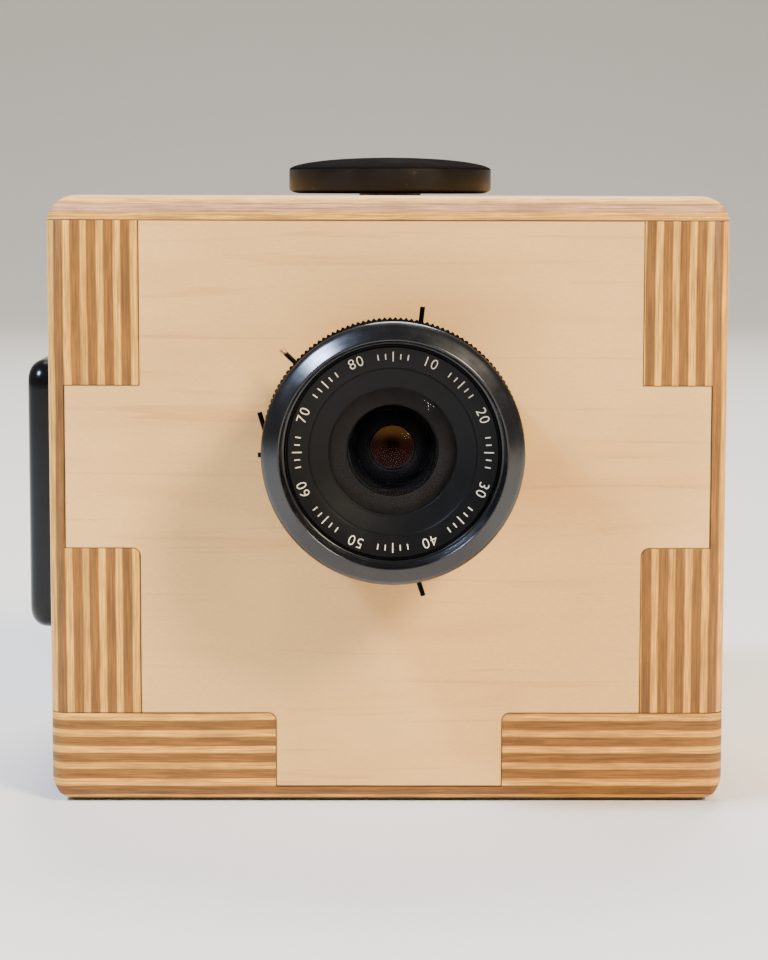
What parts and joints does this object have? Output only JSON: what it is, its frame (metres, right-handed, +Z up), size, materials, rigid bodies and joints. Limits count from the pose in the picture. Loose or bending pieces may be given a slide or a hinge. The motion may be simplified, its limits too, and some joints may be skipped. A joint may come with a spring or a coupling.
{
  "type": "digital cinema camera",
  "caption": "Box-shaped digital cinema camera in a finger-jointed plywood case, with a short wide lens in the front, a round control dial on the lid and a battery pack in one side.",
  "frame": {"origin": "mouth of the tripod socket in the base, under the lens axis", "axes": "-Y is the way the lens looks, +Z is up, +X is the port side, on the right of someone facing the lens"},
  "size_m": [0.1164, 0.109, 0.1063],
  "materials": {
    "birch_ply": "sanded birch plywood, clear oiled",
    "black_anodised": "satin black anodised",
    "clear_aluminium": "fine brushed, clear anodised",
    "steel": "plain machined",
    "blackened_steel": "blackened",
    "brass": "plain machined",
    "coated_glass": "polished, purple and amber coating",
    "filter_glass": "polished, infrared coating",
    "screen_glass": "polished black",
    "sensor_package": "glazed window over silicon",
    "circuit_board": "green solder mask",
    "chip_black": "moulded",
    "cable_film": "amber film",
    "socket_plastic": "moulded",
    "dial_black": "satin, fine texture",
    "pack_black": "gloss",
    "button_red": "satin gloss"
  },
  "bodies": {
    "camera": {"front_panel": "birch_ply", "back_panel": "birch_ply", "battery_side_panel": "birch_ply", "port_side_panel": "birch_ply", "bottom_panel": "birch_ply", "lid_panel": "birch_ply", "tripod_insert": "brass", "wood_screws": "steel", "lens_mount_plate": "clear_aluminium", "c_mount_ring": "brass", "sensor_chamber": "chip_black", "ir_filter": "filter_glass", "image_sensor": "sensor_package", "sensor_board": "circuit_board", "board_standoffs": "brass", "board_fasteners": "steel", "main_board": "circuit_board", "board_chips": "chip_black", "heatsink": "clear_aluminium", "inner_cables": "cable_film", "fan_frame": "chip_black", "vent_grille": "black_anodised", "display_module": "chip_black", "display_glass": "screen_glass", "button_board": "circuit_board", "port_plate": "clear_aluminium", "io_board": "circuit_board", "video_socket": "steel", "audio_socket": "socket_plastic", "power_socket": "socket_plastic", "card_socket": "steel", "battery_contacts": "brass", "encoder_body": "chip_black"},
    "lens": {"lens_barrel": "black_anodised"},
    "focus_ring": {"focus_ring": "black_anodised", "focus_ring_pins": "blackened_steel"},
    "optics": {"inner_tube": "black_anodised", "front_bezel": "black_anodised", "scale_ring": "black_anodised", "front_element": "coated_glass", "rear_cell": "black_anodised", "rear_elements": "coated_glass", "iris_base": "steel"},
    "aperture_ring": {"aperture_ring": "black_anodised", "aperture_ring_pins": "blackened_steel"},
    "iris_drive": {"iris_drive_ring": "steel"},
    "dial": {"dial_knob": "dial_black", "encoder_shaft": "steel"},
    "battery": {"battery_pack": "pack_black"},
    "card": {"memory_card": "socket_plastic"},
    "record_button": {"record_button": "button_red"},
    "menu_button": {"menu_button": "socket_plastic"},
    "power_switch": {"power_switch": "socket_plastic"},
    "fan": {"fan_rotor": "chip_black"},
    "blade_1": {"iris_blade_1": "blackened_steel"},
    "blade_2": {"iris_blade_2": "blackened_steel"},
    "blade_3": {"iris_blade_3": "blackened_steel"},
    "blade_4": {"iris_blade_4": "blackened_steel"},
    "blade_5": {"iris_blade_5": "blackened_steel"},
    "blade_6": {"iris_blade_6": "blackened_steel"}
  },
  "joints": [
    {"name": "lens_off", "type": "slide", "parent": "camera", "child": "lens", "axis": [0, -1, 0], "range_m": [0, 0.03]},
    {"name": "focus_turn", "type": "hinge", "parent": "lens", "child": "focus_ring", "pos_m": [0, -0.05, 0.0598], "axis": [0, -1, 0], "range_deg": [0, 120]},
    {"name": "optics_slide", "type": "slide", "parent": "lens", "child": "optics", "axis": [0, -1, 0], "range_m": [0, 0.00121]},
    {"name": "aperture_turn", "type": "hinge", "parent": "lens", "child": "aperture_ring", "pos_m": [0, -0.05, 0.0598], "axis": [0, -1, 0], "range_deg": [0, 60]},
    {"name": "iris_drive_turn", "type": "hinge", "parent": "optics", "child": "iris_drive", "pos_m": [0, -0.05, 0.0598], "axis": [0, -1, 0], "range_deg": [0, 60.5]},
    {"name": "blade_1_swing", "type": "hinge", "parent": "optics", "child": "blade_1", "pos_m": [0.009, -0.05, 0.0598], "axis": [0, -1, 0], "range_deg": [0, 20.5]},
    {"name": "blade_2_swing", "type": "hinge", "parent": "optics", "child": "blade_2", "pos_m": [0.0045, -0.05, 0.06759], "axis": [0, -1, 0], "range_deg": [0, 20.5]},
    {"name": "blade_3_swing", "type": "hinge", "parent": "optics", "child": "blade_3", "pos_m": [-0.0045, -0.05, 0.06759], "axis": [0, -1, 0], "range_deg": [0, 20.5]},
    {"name": "blade_4_swing", "type": "hinge", "parent": "optics", "child": "blade_4", "pos_m": [-0.009, -0.05, 0.0598], "axis": [0, -1, 0], "range_deg": [0, 20.5]},
    {"name": "blade_5_swing", "type": "hinge", "parent": "optics", "child": "blade_5", "pos_m": [-0.0045, -0.05, 0.05201], "axis": [0, -1, 0], "range_deg": [0, 20.5]},
    {"name": "blade_6_swing", "type": "hinge", "parent": "optics", "child": "blade_6", "pos_m": [0.0045, -0.05, 0.05201], "axis": [0, -1, 0], "range_deg": [0, 20.5]},
    {"name": "dial_turn", "type": "hinge", "parent": "camera", "child": "dial", "pos_m": [0, 0, 0.102], "axis": [0, 0, 1], "continuous": true},
    {"name": "battery_slide", "type": "slide", "parent": "camera", "child": "battery", "axis": [-1, 0, 0], "range_m": [0, 0.02]},
    {"name": "card_slide", "type": "slide", "parent": "camera", "child": "card", "axis": [1, 0, 0], "range_m": [0, 0.014]},
    {"name": "record_press", "type": "slide", "parent": "camera", "child": "record_button", "axis": [0, -1, 0], "range_m": [0, 0.0012], "stiffness_N_per_m": 900, "springref_m": -0.0004},
    {"name": "menu_press", "type": "slide", "parent": "camera", "child": "menu_button", "axis": [0, -1, 0], "range_m": [0, 0.0012], "stiffness_N_per_m": 900, "springref_m": -0.0004},
    {"name": "power_slide", "type": "slide", "parent": "camera", "child": "power_switch", "axis": [1, 0, 0], "range_m": [0, 0.003]},
    {"name": "fan_spin", "type": "hinge", "parent": "camera", "child": "fan", "pos_m": [-0.0165, 0.0235, 0.031], "axis": [0, 1, 0], "continuous": true}
  ],
  "couplings": [
    {"joint": "optics_slide", "follows": "focus_turn", "m_per_rad": 0.00057296},
    {"joint": "iris_drive_turn", "follows": "aperture_turn", "ratio": 1},
    {"joint": "blade_1_swing", "follows": "aperture_turn", "ratio": 0.33333},
    {"joint": "blade_2_swing", "follows": "aperture_turn", "ratio": 0.33333},
    {"joint": "blade_3_swing", "follows": "aperture_turn", "ratio": 0.33333},
    {"joint": "blade_4_swing", "follows": "aperture_turn", "ratio": 0.33333},
    {"joint": "blade_5_swing", "follows": "aperture_turn", "ratio": 0.33333},
    {"joint": "blade_6_swing", "follows": "aperture_turn", "ratio": 0.33333}
  ]
}
